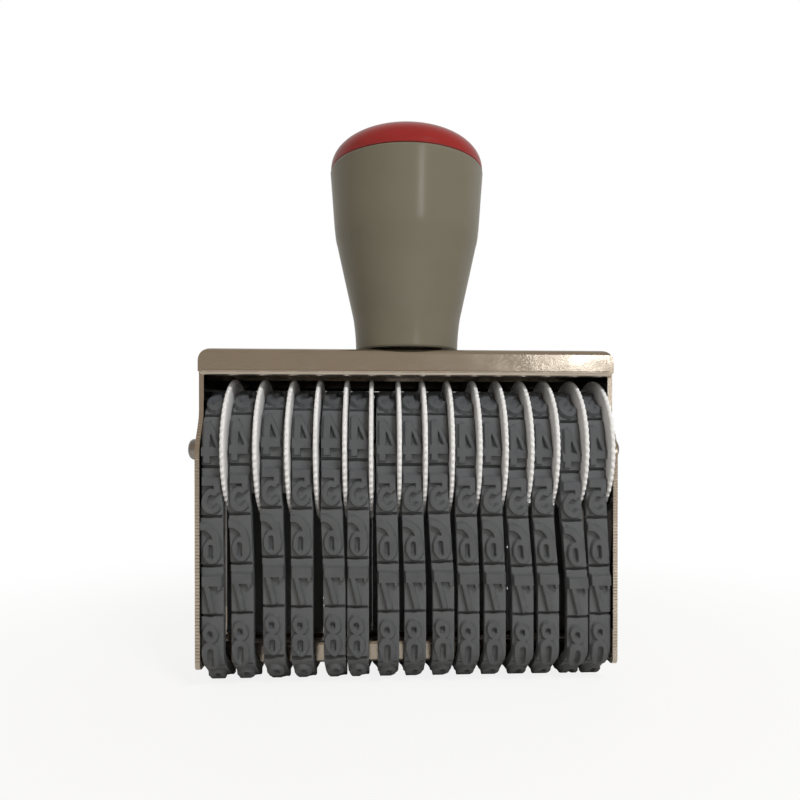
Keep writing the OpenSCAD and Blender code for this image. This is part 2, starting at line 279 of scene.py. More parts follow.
# painted shade: points inside the hood are mixed to near black, where little light reaches
painted_hood_shade = add_node(tree, "ShaderNodeMix", {0: inside, 6: warm.outputs[2], 7: linear("2a2826")},
                 data_type="RGBA")
plug(tree, shader, {"Base Color": painted_hood_shade.outputs[2], "Roughness": gloss.outputs[0], "Normal": bump.outputs[0]})
print("the hood is black from", HOOD_FOOT, "to", round(HOOD_TOP, 1), "mm")

# %% [markdown]
# The axle, its nuts and the screw are plain turned steel: a little darker than nickel, with fine turning
# marks across them.
# %% Turned steel
steel, tree, shader, place = material("turned steel", "a09e9a", 0.3, 1.0)
drawn = add_node(tree, "ShaderNodeMapping", {"Vector": place, "Scale": (4, 0.3, 0.3)})
turning = add_node(tree, "ShaderNodeTexNoise", {
    "Vector": drawn.outputs[0], "Scale": 1 / (0.25 * MM), "Detail": 2.0})
gloss = add_node(tree, "ShaderNodeMapRange", {
    "Value": turning.outputs["Fac"], "From Min": 0.3, "From Max": 0.7, "To Min": 0.24, "To Max": 0.4})
bump = add_node(tree, "ShaderNodeBump", {
    "Height": turning.outputs["Fac"], "Distance": 0.02 * MM, "Strength": 0.5})
plug(tree, shader, {"Roughness": gloss.outputs[0], "Normal": bump.outputs[0]})

# %% [markdown]
# The handle is moulded ABS in an olive grey, polished in the mould but worn to a satin by the palm. A long
# highlight runs down it, so its gloss matters more than its grain.
# %% Olive ABS
olive, tree, shader, place = material("olive grey ABS", "86826f", 0.24)
wear_and_face_shade = add_node(tree, "ShaderNodeTexNoise", {"Vector": place, "Scale": 1 / (12 * MM), "Detail": 2.0})
gloss = add_node(tree, "ShaderNodeMapRange", {
    "Value": wear_and_face_shade.outputs["Fac"], "From Min": 0.3, "From Max": 0.7, "To Min": 0.2, "To Max": 0.27})
tint = add_node(tree, "ShaderNodeMix", {0: wear_and_face_shade.outputs["Fac"], 6: linear("777465"), 7: linear("6d695b")},
                data_type="RGBA")
grain = add_node(tree, "ShaderNodeTexNoise", {"Vector": place, "Scale": 1 / (1.6 * MM), "Detail": 3.0})
bump = add_node(tree, "ShaderNodeBump", {
    "Height": grain.outputs["Fac"], "Distance": 0.02 * MM, "Strength": 0.5})
plug(tree, shader, {"Base Color": tint.outputs[2], "Roughness": gloss.outputs[0], "Normal": bump.outputs[0]})

# %% [markdown]
# The cap is the same plastic in red with a higher polish. Its surface dips a little where the moulding
# shrank, which bends the reflections.
# %% Red ABS
red, tree, shader, place = material("polished red ABS", "b5302d", 0.14)
shrink = add_node(tree, "ShaderNodeTexNoise", {"Vector": place, "Scale": 1 / (8 * MM), "Detail": 2.0})
tint = add_node(tree, "ShaderNodeMix", {0: shrink.outputs["Fac"], 6: linear("962625"), 7: linear("862020")},
                data_type="RGBA")
bump = add_node(tree, "ShaderNodeBump", {
    "Height": shrink.outputs["Fac"], "Distance": 0.08 * MM, "Strength": 0.4})
plug(tree, shader, {"Base Color": tint.outputs[2], "Normal": bump.outputs[0]})

# %% [markdown]
# The washer is black vulcanised fibre, pressed from sheets of paper, so its grain lies flat.
# %% Black fibre
fibre, tree, shader, place = material("black vulcanised fibre", "1c1b1a", 0.6)
pressed = add_node(tree, "ShaderNodeMapping", {"Vector": place, "Scale": (1, 1, 6)})
layers = add_node(tree, "ShaderNodeTexNoise", {
    "Vector": pressed.outputs[0], "Scale": 1 / (0.4 * MM), "Detail": 3.0})
tint = add_node(tree, "ShaderNodeMix", {0: layers.outputs["Fac"], 6: linear("171615"), 7: linear("242322")},
                data_type="RGBA")
bump = add_node(tree, "ShaderNodeBump", {
    "Height": layers.outputs["Fac"], "Distance": 0.03 * MM, "Strength": 0.5})
plug(tree, shader, {"Base Color": tint.outputs[2], "Normal": bump.outputs[0]})

# %% [markdown]
# ## The characters
# Each block on a band carries one character, raised and mirrored, as type is. It could be carved from
# curves, but rubber type has sloping sides and soft edges, and a height map makes those by itself. A
# distance function says how far each point of the block lies from the edge of the character: negative
# inside, positive outside. Bars, bows and slots are added and cut as a punch cutter would, in millimetres,
# with x across the band and y up it.
# %% Distance functions


def bar(grid, start, end, width):
    """Distance to a straight stroke with square ends."""
    start, end = np.array(start, float), np.array(end, float)
    length = np.linalg.norm(end - start)
    along_axis = (end - start) / length
    offset = grid - start
    along = offset @ along_axis
    across = offset @ np.array([-along_axis[1], along_axis[0]])
    past_end = np.abs(along - length / 2) - length / 2
    past_side = np.abs(across) - width / 2
    outside = np.hypot(np.maximum(past_end, 0), np.maximum(past_side, 0))
    return outside + np.minimum(np.maximum(past_end, past_side), 0)


def path(grid, points, width):
    """Distance to a stroke of round section along points."""
    nearest = np.full(grid.shape[:-1], 99.0)
    for start, end in zip(points[:-1], points[1:]):
        start, step = np.array(start, float), np.array(end, float) - np.array(start, float)
        share = np.clip((grid - start) @ step / (step @ step), 0, 1)
        nearest = np.minimum(nearest, np.linalg.norm(grid - start - share[..., None] * step, axis=-1))
    return nearest - width / 2


def bow(grid, centre, radii, first, last, width, steps=28):
    """Distance to a stroke along part of an ellipse, from one angle to another in degrees."""
    angles = np.radians(np.linspace(first, last, steps))
    points = [(centre[0] + radii[0] * math.cos(a), centre[1] + radii[1] * math.sin(a)) for a in angles]
    return path(grid, points, width)


def oval(grid, centre, radii):
    """Roughly the distance to a filled ellipse."""
    scaled = np.linalg.norm((grid - np.array(centre)) / np.array(radii), axis=-1)
    return (scaled - 1) * min(radii)


def slot(grid, low, high, width):
    """Distance to an upright slot with round ends."""
    return path(grid, [low, high], width)


print("the middle of a 2 mm stroke lies", bar(np.zeros((1, 2)), (-1, 0), (1, 0), 2)[0], "mm from its edge")

# %% [markdown]
# The digits are plain and bold, with narrow slots for counters, as cheap rubber type has them. A nine is a
# six turned round. Most of those that show on the front come first.
# %% Draw the first characters


def six(grid):
    tail = path(grid, [(-2.3, 3.05), (-1.2, 2.95), (-0.2, 2.45), (0.55, 1.5), (0.95, 0.3), (1.1, -1)], 1.5)
    bowl = oval(grid, (0.1, -2.1), (1.78, 2.6))
    return np.maximum(np.minimum(tail, bowl), -slot(grid, (-0.15, -1.1), (-0.15, -3.35), 0.72))


def seven(grid):
    beam = bar(grid, (-1.9, 2.0), (2.1, 2.0), 2.2)
    hook = path(grid, [(1.45, 1.2), (1.45, 0.45)], 0.75)
    leg = bar(grid, (-1.3, 2.3), (0.23, -4.6), 1.1)
    return np.minimum(np.minimum(beam, hook), leg)


def five(grid):
    beam = bar(grid, (-1.95, 2.1), (2.0, 2.1), 1.9)
    stem = bar(grid, (1.25, 2.1), (1.25, -0.3), 1.4)
    bowl = bow(grid, (0.1, -2.05), (1.45, 1.95), 62, 318, 1.25)
    return np.minimum(np.minimum(beam, stem), bowl)


def four(grid):
    stem = bar(grid, (-0.9, 3.2), (-0.9, -4.4), 1.5)
    beam = bar(grid, (-2.1, -2.15), (2.1, -2.15), 1.65)
    slope = path(grid, [(-0.55, 2.9), (1.75, -1.6)], 0.95)
    return np.minimum(np.minimum(stem, beam), slope)


def eight(grid):
    leaning = grid + np.stack([0 * grid[..., 0], 0.22 * grid[..., 0]], axis=-1)
    upper = np.maximum(oval(leaning, (-0.25, 1.25), (1.5, 1.95)),
                       -slot(grid, (-0.32, 1.5), (-0.32, 1.0), 0.86))
    lower = np.maximum(oval(leaning, (-0.26, -2.6), (1.71, 2.2)),
                       -slot(grid, (-0.2, -2.2), (-0.2, -3.7), 0.96))
    return np.minimum(upper, lower)


def three(grid):
    upper = bow(grid, (0.15, 1.4), (1.35, 1.15), 25, 270, 1.2)
    lower = bow(grid, (0.1, -2.2), (1.45, 1.8), 90, 335, 1.25)
    return np.minimum(upper, lower)


hole = eight(np.array([[-0.2, -3.0]]))[0]
print("the middle of an eight's lower hole lies", round(float(hole), 2), "mm from its edge")

# %% [markdown]
# The rest of the band carries the other digits, three signs and an empty block.
# %% Draw the other characters


def two(grid):
    crook = bow(grid, (-0.05, 1.35), (1.35, 1.25), -5, 200, 1.25)
    slope = path(grid, [(-1.3, 0.8), (-0.6, -0.9), (1.2, -3.6)], 1.25)
    foot = bar(grid, (-1.9, -3.85), (1.9, -3.85), 1.4)
    return np.minimum(np.minimum(crook, slope), foot)


def one(grid):
    stem = bar(grid, (0, 3.2), (0, -4.4), 1.45)
    flag = path(grid, [(0.2, 2.7), (1.25, 1.9)], 0.85)
    return np.minimum(stem, flag)


def nought(grid):
    return np.maximum(oval(grid, (0, -0.65), (1.85, 3.85)), -slot(grid, (0, 1.4), (0, -2.7), 0.85))


def nine(grid):
    return six(np.array([0, -1.3]) - grid)


def dash(grid):
    return bar(grid, (-1.3, -0.65), (1.3, -0.65), 1.4)


def dot(grid):
    return bar(grid, (-0.65, -3.75), (0.65, -3.75), 1.3)


def slash(grid):
    return bar(grid, (1.25, 3.1), (-1.25, -4.3), 1.1)


def blank(grid):
    return np.full(grid.shape[:-1], 9.0)


# in the order in which they come round the front from below, from under the platen upwards
CHARACTERS = [nine, eight, seven, six, five, four, three, two, one, nought, dash, dot, slash, blank]
print(len(CHARACTERS), "characters on a band")

# %% [markdown]
# ## A band, laid out flat
# A band is first made flat, as it comes from the mould: a base, a row of blocks with a cut between them, and
# a character on each. The height map is sampled on a fine grid. Above each edge the rubber rises in a ramp,
# because the mould has draft there, and every other side is steep.
# %% Height of one block
BASE_T, BLOCK_T, RELIEF = 1.0, 1.0, 1.0
BAND_W = size_of(BANDS[0])[1].x - size_of(BANDS[0])[0].x
CUT_W, CUT_SLOPE, STEEP, RAMP, CHAMFER = 0.42, 0.12, 0.2, 0.6, 0.12
COLUMNS, ROWS = 28, 76


def ramp_above(height, step):
    """Lets each raised edge fall away upwards in a ramp, not in a wall."""
    for row in range(1, len(height)):
        height[row] = np.maximum(height[row], height[row - 1] - step / RAMP)
    return height


def block_heights(character, pitch):
    """Heights over one block in millimetres, a row for each step up the band."""
    x = np.linspace(-BAND_W / 2, BAND_W / 2, COLUMNS)
    y = (np.arange(ROWS) + 0.5) / ROWS * pitch - pitch / 2
    grid = np.stack(np.meshgrid(x, y), axis=-1)
    face = np.clip(0.5 - character(grid) / STEEP, 0, 1)
    face = ramp_above(face * face * (3 - 2 * face), pitch / ROWS)
    to_cut = pitch / 2 - np.abs(y) - CUT_W / 2
    block = np.clip(to_cut / CUT_SLOPE, 0, 1)[:, None]
    height = BASE_T + block * (BLOCK_T + RELIEF * face)
    height[:, [0, -1]] -= CHAMFER
    return x, y, height, block * face


print("a block is sampled at", COLUMNS, "by", ROWS, "points")

# %% [markdown]
# ## The loop
# The band's path is drawn once, as a closed curve in the plane of the wheel: flat under the platen, up a
# flank from the platen's edge to a knee, straight up to the drum, over it, and down the other side. Thick
# rubber doesn't hug a narrow platen, so the knee stands free. The path is given by a few centres and radii,
# and is then divided into even steps along its middle line, which is what sets the pitch of the blocks.
# %% Path of a band
PLATEN_EDGE, EDGE_R, FLANK, KNEE_R = (3.65, 4.0), 1.0, math.radians(34), 1.5
SEAT_R = BAND_OUT_R - BASE_T - BLOCK_T - RELIEF
MIDDLE = BASE_T / 2


def half_path():
    """The middle line of the front half as arcs, from the bottom: centre, radius, first and last angle."""
    turn = math.pi / 2 - FLANK
    start = (PLATEN_EDGE[0] + EDGE_R * math.cos(-turn), PLATEN_EDGE[1] + EDGE_R * math.sin(-turn))
    knee_z = start[1] + (SEAT_R - start[0]) * math.tan(FLANK) + KNEE_R * math.tan(turn / 2)
    return [((0, PLATEN_EDGE[1]), EDGE_R + MIDDLE, -math.pi / 2, -math.pi / 2),
            (PLATEN_EDGE, EDGE_R + MIDDLE, -math.pi / 2, -turn),
            ((SEAT_R - KNEE_R, knee_z), KNEE_R + MIDDLE, -turn, 0),
            ((0, AXLE_Z), SEAT_R + MIDDLE, 0, math.pi / 2)]


def loop_points(steps=900):
    """Evenly spaced points of the band's middle line, and its length."""
    line = np.array([(centre[0] + radius * math.cos(a), centre[1] + radius * math.sin(a))
                     for centre, radius, first, last in half_path() for a in np.linspace(first, last, 60)])
    run = np.concatenate([[0], np.cumsum(np.linalg.norm(np.diff(line, axis=0), axis=1))])
    half = run[-1]
    points = []
    for s in np.arange(steps) / steps * 2 * half:
        side, t = (-1, s) if s <= half else (1, 2 * half - s)
        points.append((0, side * np.interp(t, run, line[:, 0]), np.interp(t, run, line[:, 1])))
    return points, 2 * half


LOOP, LOOP_LEN = loop_points()
PITCH = LOOP_LEN / len(CHARACTERS)
print("band loop", round(LOOP_LEN, 1), "mm, one block every", round(PITCH, 2), "mm")


def loop_curve():
    """The path as a closed poly curve, for the node tree to sample."""
    data = bpy.data.curves.new("band path", "CURVE")
    data.dimensions = "3D"
    spline = data.splines.new("POLY")
    spline.points.add(len(LOOP) - 1)
    for point, place in zip(spline.points, LOOP):
        point.co = (*(c * MM for c in place), 1)
    spline.use_cyclic_u = True
    return placed("band path", data)


# %% [markdown]
# The flat strip is a ring of points at each step: one across the back, many over the face. Its x is across
# the band, its y is the length along the loop and its z the height over the middle of the base, so the mesh is
# closed as soon as the last step meets the first.
# %% Make the flat strip


def flat_strip():
    """The moulded strip as one closed mesh, with the relief stored on its points."""
    rings, reliefs = [], []
    for number, character in enumerate(CHARACTERS):
        x, y, height, relief = block_heights(character, PITCH)
        for row in range(ROWS):
            length = (number + 0.5) * PITCH + y[row]
            face = [(x[i], length, height[row, i] - MIDDLE) for i in range(COLUMNS)]
            rings.append(face + [(x[-1], length, -MIDDLE), (x[0], length, -MIDDLE)])
            reliefs.append(list(relief[row]) + [0.0, 0.0])
    around = COLUMNS + 2
    points = [p for ring in rings for p in ring]
    faces = []
    for i in range(len(rings)):
        here, there = i * around, (i + 1) % len(rings) * around
        for j in range(around):
            k = (j + 1) % around
            faces.append((here + j, here + k, there + k, there + j))
    mesh = bpy.data.meshes.new("flat strip")
    mesh.from_pydata((np.array(points) * MM).tolist(), [], faces)
    mesh.attributes.new("relief", "FLOAT", "POINT").data.foreach_set(
        "value", np.array(reliefs, np.float32).ravel())
    return mesh


STRIP = flat_strip()
print("flat strip:", len(STRIP.polygons), "faces")

# %% [markdown]
# ## Node trees
# Geometry Nodes shape what repeats or follows a path. Three trees do that here, and all of them take
# geometry, a few named inputs and a material, and give geometry back. One helper starts such a tree, and one
# runs it on an object. It sets the inputs by their identifiers, since a modifier doesn't know their names.
# %% Start and run a node tree


def geometry_tree(name, **inputs):
    """A node tree that takes geometry, the inputs named here and a material, and gives geometry."""
    tree = bpy.data.node_groups.new(name, "GeometryNodeTree")
    for label, kind in {"Geometry": "Geometry", **inputs, "Material": "Material"}.items():
        tree.interface.new_socket(
            name=label.replace("_", " "), in_out="INPUT", socket_type="NodeSocket" + kind)
    tree.interface.new_socket(name="Geometry", in_out="OUTPUT", socket_type="NodeSocketGeometry")
    return tree, add_node(tree, "NodeGroupInput").outputs


def applied(piece):
    """Keeps what a piece's modifiers make as its own mesh, and takes the modifiers off."""
    bpy.context.view_layer.update()
    shaped = piece.evaluated_get(bpy.context.evaluated_depsgraph_get())
    mesh = bpy.data.meshes.new_from_object(shaped)
    piece.modifiers.clear()
    piece.data = mesh
    mesh.name = piece.name
    return piece


def run_tree(piece, tree, **values):
    """Puts a node tree on an object, sets its inputs by their identifiers, and keeps the result."""
    modifier = piece.modifiers.new("shape", "NODES")
    modifier.node_group = tree
    for item in tree.interface.items_tree:
        key = item.name.lower().replace(" ", "_")
        if item.in_out == "INPUT" and key in values:
            modifier[item.identifier] = values[key]
    return applied(piece)


# %% [markdown]
# ## Wrapping the strip round the machine
# Geometry Nodes bend the strip. For each point, the loop curve is sampled at the point's y, which gives a
# place and a direction. The height goes along the outward normal, which is the cross product of X and the
# direction. A used band doesn't run dead straight: it sits off the middle of its drum and wanders over
# the platen, so a sideways offset is mixed in by height, with its own values in front and behind. The drum
# also stretches it, and stretched rubber is narrower than slack rubber, so the width is mixed in the same way.
# %% Node tree that wraps a band
NUMBERS = ["Loop_length", "Creep", "Drum_place", "Back_drum_place", "Front_place", "Back_place",
           "Low", "High", "Back_low", "Back_high", "Slack", "Taut", "Slack_width", "Taut_width"]
SIDE_BLEND = 3


def wrap_tree():
    """Bends a flat strip round the loop, with its sideways places and widths."""
    tree, given = geometry_tree("wrap band round loop", Loop="Object", **dict.fromkeys(NUMBERS, "Float"))
    place = add_node(tree, "GeometryNodeInputPosition").outputs[0]
    flat = add_node(tree, "ShaderNodeSeparateXYZ", {0: place}).outputs
    crept = add_node(tree, "ShaderNodeMath", {0: flat["Y"], 1: given["Creep"]}, operation="ADD").outputs[0]
    turns = add_node(tree, "ShaderNodeMath", {
        0: crept, 1: given["Loop length"]}, operation="DIVIDE").outputs[0]
    factor = add_node(tree, "ShaderNodeMath", {0: turns}, operation="FRACT").outputs[0]
    path_geometry = add_node(tree, "GeometryNodeObjectInfo", {"Object": given["Loop"]}).outputs["Geometry"]
    sample = add_node(tree, "GeometryNodeSampleCurve", {"Curves": path_geometry, "Factor": factor},
                      mode="FACTOR", use_all_curves=True)
    normal = add_node(tree, "ShaderNodeVectorMath", {0: (1, 0, 0), 1: sample.outputs["Tangent"]},
                      operation="CROSS_PRODUCT").outputs[0]
    lifted = add_node(tree, "ShaderNodeVectorMath", {0: normal, 3: flat["Z"]}, operation="SCALE").outputs[0]
    on_loop = add_node(tree, "ShaderNodeSeparateXYZ", {0: sample.outputs["Position"]}).outputs
    shares = [add_node(tree, "ShaderNodeMapRange", {
        "Value": on_loop["Z"], "From Min": given[first], "From Max": given[last]},
        interpolation_type="SMOOTHSTEP").outputs[0]
        for first, last in (("Low", "High"), ("Back low", "Back high"), ("Slack", "Taut"))]
    front = add_node(tree, "ShaderNodeMix", {
        0: shares[0], 2: given["Front place"], 3: given["Drum place"]}).outputs[0]
    back = add_node(tree, "ShaderNodeMix", {
        0: shares[1], 2: given["Back place"], 3: given["Back drum place"]}).outputs[0]
    behind = add_node(tree, "ShaderNodeMapRange", {
        "Value": on_loop["Y"], "From Min": -SIDE_BLEND * MM, "From Max": SIDE_BLEND * MM},
        interpolation_type="SMOOTHSTEP").outputs[0]
    sideways = add_node(tree, "ShaderNodeMix", {0: behind, 2: front, 3: back}).outputs[0]
    width = add_node(tree, "ShaderNodeMix", {
        0: shares[2], 2: given["Slack width"], 3: given["Taut width"]}).outputs[0]
    shifted = add_node(tree, "ShaderNodeMath", {
        0: flat["X"], 1: width, 2: sideways}, operation="MULTIPLY_ADD").outputs[0]
    across = add_node(tree, "ShaderNodeCombineXYZ", {0: shifted}).outputs[0]
    raised = add_node(tree, "ShaderNodeVectorMath", {
        0: sample.outputs["Position"], 1: lifted}, operation="ADD").outputs[0]
    wrapped = add_node(tree, "ShaderNodeVectorMath", {0: raised, 1: across}, operation="ADD").outputs[0]
    moved = add_node(tree, "GeometryNodeSetPosition", {
        "Geometry": given["Geometry"], "Position": wrapped}).outputs[0]
    whole = add_node(tree, "GeometryNodeRealizeInstances", {0: moved}).outputs[0]
    done = add_node(tree, "GeometryNodeSetMaterial", {
        "Geometry": whole, "Material": given["Material"]}).outputs[0]
    add_node(tree, "NodeGroupOutput", {0: done})
    return tree


wrap = wrap_tree()
print("wrap tree:", len(wrap.nodes), "nodes")

# %% [markdown]
# ## Fifteen bands
# The bands share one strip and one tree. Short lists say how each one lies: how far it has crept round, and
# how far it stands off its slot on the drum and at the platen, in front and behind. The offset goes over from
# the platen's value to the drum's between two heights, and so does the width.
# %% Wrap the bands
CREEP = [5.3, 5.8, 7.1, 6.9, 6.9, 6.7, 5.7, 5.7, 5.8, 5.2, 5.3, 4.8, 5, 4.1, 4.7]
AT_DRUM = [0, -0.9, -0.8, -0.35, -0.25, 0, 0, 0, -0.1, 0, 0, 0, 0, 0, 0]
BEHIND_DRUM = [0, -0.9, -0.8, -0.35, -0.25, 0, -0.65, 0, -0.1, 0, 0, 0, 0, 0, 0]
AT_FRONT = [0.1, -0.35, -0.3, -0.35, 0.45, -0.1, 0.4, 0.65, 1, 0.65, 0.8, 1.35, 1.4, 1.55, 0.9]
AT_BACK = [0.4, -0.5, -0.2, 0, 0.1, 0.42, -0.9, -0.3, -0.1, 0, 0, 0, -0.6, -1.7, -0.8]
FRONT_BLEND, BACK_BLEND, WIDTH_BLEND = (18, 42), (34.5, 40), (37.5, 40)
SLACK_WIDTH, TAUT_WIDTH, SHARP_RUBBER = 1.07, 0.98, 50
band_path = loop_curve()
for k, node in enumerate(BANDS):
    low, high = size_of(node)
    middle = (low.x + high.x) / 2
    piece = placed("number_" + node, STRIP.copy())
    run_tree(piece, wrap, loop=band_path, loop_length=LOOP_LEN * MM,
             creep=(CREEP[k] - PITCH / 2) * MM, material=rubber,
             drum_place=(middle + AT_DRUM[k]) * MM, back_drum_place=(middle + BEHIND_DRUM[k]) * MM,
             front_place=(middle + AT_FRONT[k]) * MM, back_place=(middle + AT_BACK[k]) * MM,
             low=FRONT_BLEND[0] * MM, high=FRONT_BLEND[1] * MM,
             back_low=BACK_BLEND[0] * MM, back_high=BACK_BLEND[1] * MM,
             slack=WIDTH_BLEND[0] * MM, taut=WIDTH_BLEND[1] * MM,
             slack_width=SLACK_WIDTH, taut_width=TAUT_WIDTH)
    piece.data.shade_smooth()
    piece.data.set_sharp_from_angle(angle=math.radians(SHARP_RUBBER))
    dress(piece, ROOT, "band_rubber", rubber, node)
bpy.data.objects.remove(band_path)
print(len(BANDS), "bands wrapped")

# %% [markdown]
# ## Setting wheels
# A wheel is a disc with a serrated rim, a fluted drum, a hub and ribs between them, all in one moulding.
# Only one tooth and one flute are drawn. Geometry Nodes set copies round the axle and weld them.
# %% One sector of a rim, and the tree that repeats it
# share of the pitch, and height of the tooth there
TOOTH = [(0.0, 0.0), (0.12, 0.0), (0.36, 1.0), (0.64, 1.0), (0.88, 0.0), (1.0, 0.0)]


def rim_sector(name, count, section, root, depth):
    """One tooth's worth of a rim: section is (x, radius) points round a closed outline, in millimetres.
    Points that lie above the root radius rise and fall with the tooth."""
    points = []
    for share, lift in TOOTH:
        a = share * 2 * math.pi / count
        for x, radius in section:
            r = radius - depth * (1 - lift) if radius > root else radius
            points.append((x, r * math.sin(a), r * math.cos(a)))
    n = len(section)
    faces = [(i * n + j, i * n + (j + 1) % n, (i + 1) * n + (j + 1) % n, (i + 1) * n + j)
             for i in range(len(TOOTH) - 1) for j in range(n)]
    return mesh_object(name, points, faces)


def ring_tree():
    """Sets copies of a sector round the axle and welds them."""
    tree, given = geometry_tree("copies round the axle", Count="Int")
    places = add_node(tree, "GeometryNodePoints", {"Count": given["Count"]}).outputs[0]
    index = add_node(tree, "GeometryNodeInputIndex").outputs[0]
    step = add_node(tree, "ShaderNodeMath", {
        0: 2 * math.pi, 1: given["Count"]}, operation="DIVIDE").outputs[0]
    turn = add_node(tree, "ShaderNodeMath", {0: index, 1: step}, operation="MULTIPLY").outputs[0]
    rotation = add_node(tree, "ShaderNodeCombineXYZ", {0: turn}).outputs[0]
    copies = add_node(tree, "GeometryNodeInstanceOnPoints", {
        "Points": places, "Instance": given["Geometry"], "Rotation": rotation}).outputs[0]
    whole = add_node(tree, "GeometryNodeRealizeInstances", {0: copies}).outputs[0]
    welded = add_node(tree, "GeometryNodeMergeByDistance", {
        "Geometry": whole, "Distance": 0.002 * MM}).outputs[0]
    done = add_node(tree, "GeometryNodeSetMaterial", {
        "Geometry": welded, "Material": given["Material"]}).outputs[0]
    add_node(tree, "NodeGroupOutput", {0: done})
    return tree


ring = ring_tree()
print("ring tree:", len(ring.nodes), "nodes")

# %% [markdown]
# The disc's rim is rounded on both sides, where a thumb runs over it, and the drum is a cup with flutes that
# grip the rubber.
# %% Build one wheel
TEETH, TOOTH_H, DISC_T = 66, 0.28, 0.95
FLUTES, FLUTE_H, DRUM_R, DRUM_WALL, HUB_R, BORE_R = 26, 0.4, 9.8, 1.3, 3.9, 2.35
UNIT = size_of(WHEELS[0])[1].x - size_of(WHEELS[0])[0].x
DRUM_LEN = UNIT - DISC_T
ROUND = 0.45


def quarter(cx, cr, radius, first, last, steps=4):
    """Points of a rounded corner in a section."""
    angles = np.radians(np.linspace(first, last, steps))
    return [(cx + radius * math.cos(a), cr + radius * math.sin(a)) for a in angles]


def disc_section():
    near, far = DRUM_LEN, UNIT
    return ([(near, BORE_R), (near, DISC_R - 2.2), (near + 0.05, DISC_R - 0.9)]
            + quarter(near + 0.05 + ROUND, DISC_R - ROUND, ROUND, 180, 90)
            + quarter(far - ROUND, DISC_R - ROUND, ROUND, 90, 0)
            + [(far, DISC_R - 2.2), (far, BORE_R)])


def drum_section():
    near, far = 0.0, DRUM_LEN + 0.05
    inner = DRUM_R - FLUTE_H - DRUM_WALL
    return [(near, inner + 0.2), (near + 0.2, inner), (far, inner), (far, DRUM_R), (near + 0.2, DRUM_R),
            (near, DRUM_R - 0.2)]


def hub_section():
    return [(0.0, BORE_R), (DRUM_LEN + 0.05, BORE_R), (DRUM_LEN + 0.05, HUB_R), (0.15, HUB_R),
            (0.0, HUB_R - 0.15)]


def rib():
    """One rib between hub and drum."""
    x0, x1, half = 0.6, DRUM_LEN + 0.05, DRUM_WALL / 2
    r0, r1 = HUB_R - 0.5, DRUM_R - FLUTE_H - DRUM_WALL / 2
    corners = [(x, y, r) for x in (x0, x1) for y in (-half, half) for r in (r0, r1)]
    faces = [(0, 1, 3, 2), (4, 6, 7, 5), (0, 4, 5, 1), (2, 3, 7, 6), (0, 2, 6, 4), (1, 5, 7, 3)]
    return mesh_object("rib", corners, faces)


disc = run_tree(rim_sector("disc", TEETH, disc_section(), DISC_R - 0.8, TOOTH_H), ring,
                count=TEETH, material=nylon)
drum = run_tree(rim_sector("drum", FLUTES, drum_section(), DRUM_R - 0.3, FLUTE_H), ring,
                count=FLUTES, material=nylon)
hub = run_tree(rim_sector("hub", 12, hub_section(), 99, 0), ring, count=12, material=nylon)
ribs = run_tree(rib(), ring, count=6, material=nylon)
for part in (disc, drum, hub, ribs):
    tidy_mesh(part.data)
whole_wheel = joined("whole wheel", [disc, drum, hub, ribs])
print("one wheel:", len(whole_wheel.data.polygons), "faces")

# %% [markdown]
# The same mesh is moved to each wheel's place. Each is also turned by its own part of a tooth, because no two
# were left at the same angle.
# %% Place the wheels
TURN_STEP = 1.7
for k, node in enumerate(WHEELS):
    low, high = size_of(node)
    mesh = whole_wheel.data.copy()
    turn = Matrix.Rotation(math.radians(TURN_STEP * k % (360 / TEETH)), 4, "X")
    mesh.transform(Matrix.Translation(Vector((low.x, 0, AXLE_Z)) * MM) @ turn)
    dress(placed("setting_" + node, mesh), node + "_body", "wheel_plastic", nylon, node)
bpy.data.objects.remove(whole_wheel)

# %% [markdown]
# ## Turned and moulded pieces
# The handle, the cap and the ends of the axle are bodies of revolution. A lathe function spins an outline of
# radius and height, and closes it at the axis.
# %% A lathe


def lathe(name, outline, turns=128):
    """Spins a closed outline of (radius, height) points round Z. A point on the axis becomes a pole."""
    points, rings = [], []
    for radius, height in outline:
        count = 1 if radius < 1e-6 else turns
        rings.append((len(points), count))
        points += [(radius * math.cos(2 * math.pi * i / turns), radius * math.sin(2 * math.pi * i / turns),
                    height) for i in range(count)]
    faces = []
    for (a, na), (b, nb) in zip(rings, rings[1:] + rings[:1]):
        for i in range(turns):
            j = (i + 1) % turns
            if na > 1 and nb > 1:
                faces.append((a + i, a + j, b + j, b + i))
            elif na > 1:
                faces.append((a + i, a + j, b))
            elif nb > 1:
                faces.append((a, b + j, b + i))
    return mesh_object(name, points, faces)


def smooth_line(points, steps=8):
    """A curve through points, by Catmull and Rom's rule."""
    p = [points[0]] + list(points) + [points[-1]]
    line = []
    for i in range(1, len(p) - 2):
        for t in np.arange(steps) / steps:
            line.append(tuple(0.5 * (2 * p[i][c] + (p[i + 1][c] - p[i - 1][c]) * t
                        + (2 * p[i - 1][c] - 5 * p[i][c] + 4 * p[i + 1][c] - p[i + 2][c]) * t ** 2
                        + (3 * p[i][c] - p[i - 1][c] - 3 * p[i + 1][c] + p[i + 2][c]) * t ** 3)
                        for c in (0, 1)))
    return line + [tuple(points[-1])]


print("a curve through 3 points gets", len(smooth_line([(0, 0), (1, 1), (2, 0)])), "points")

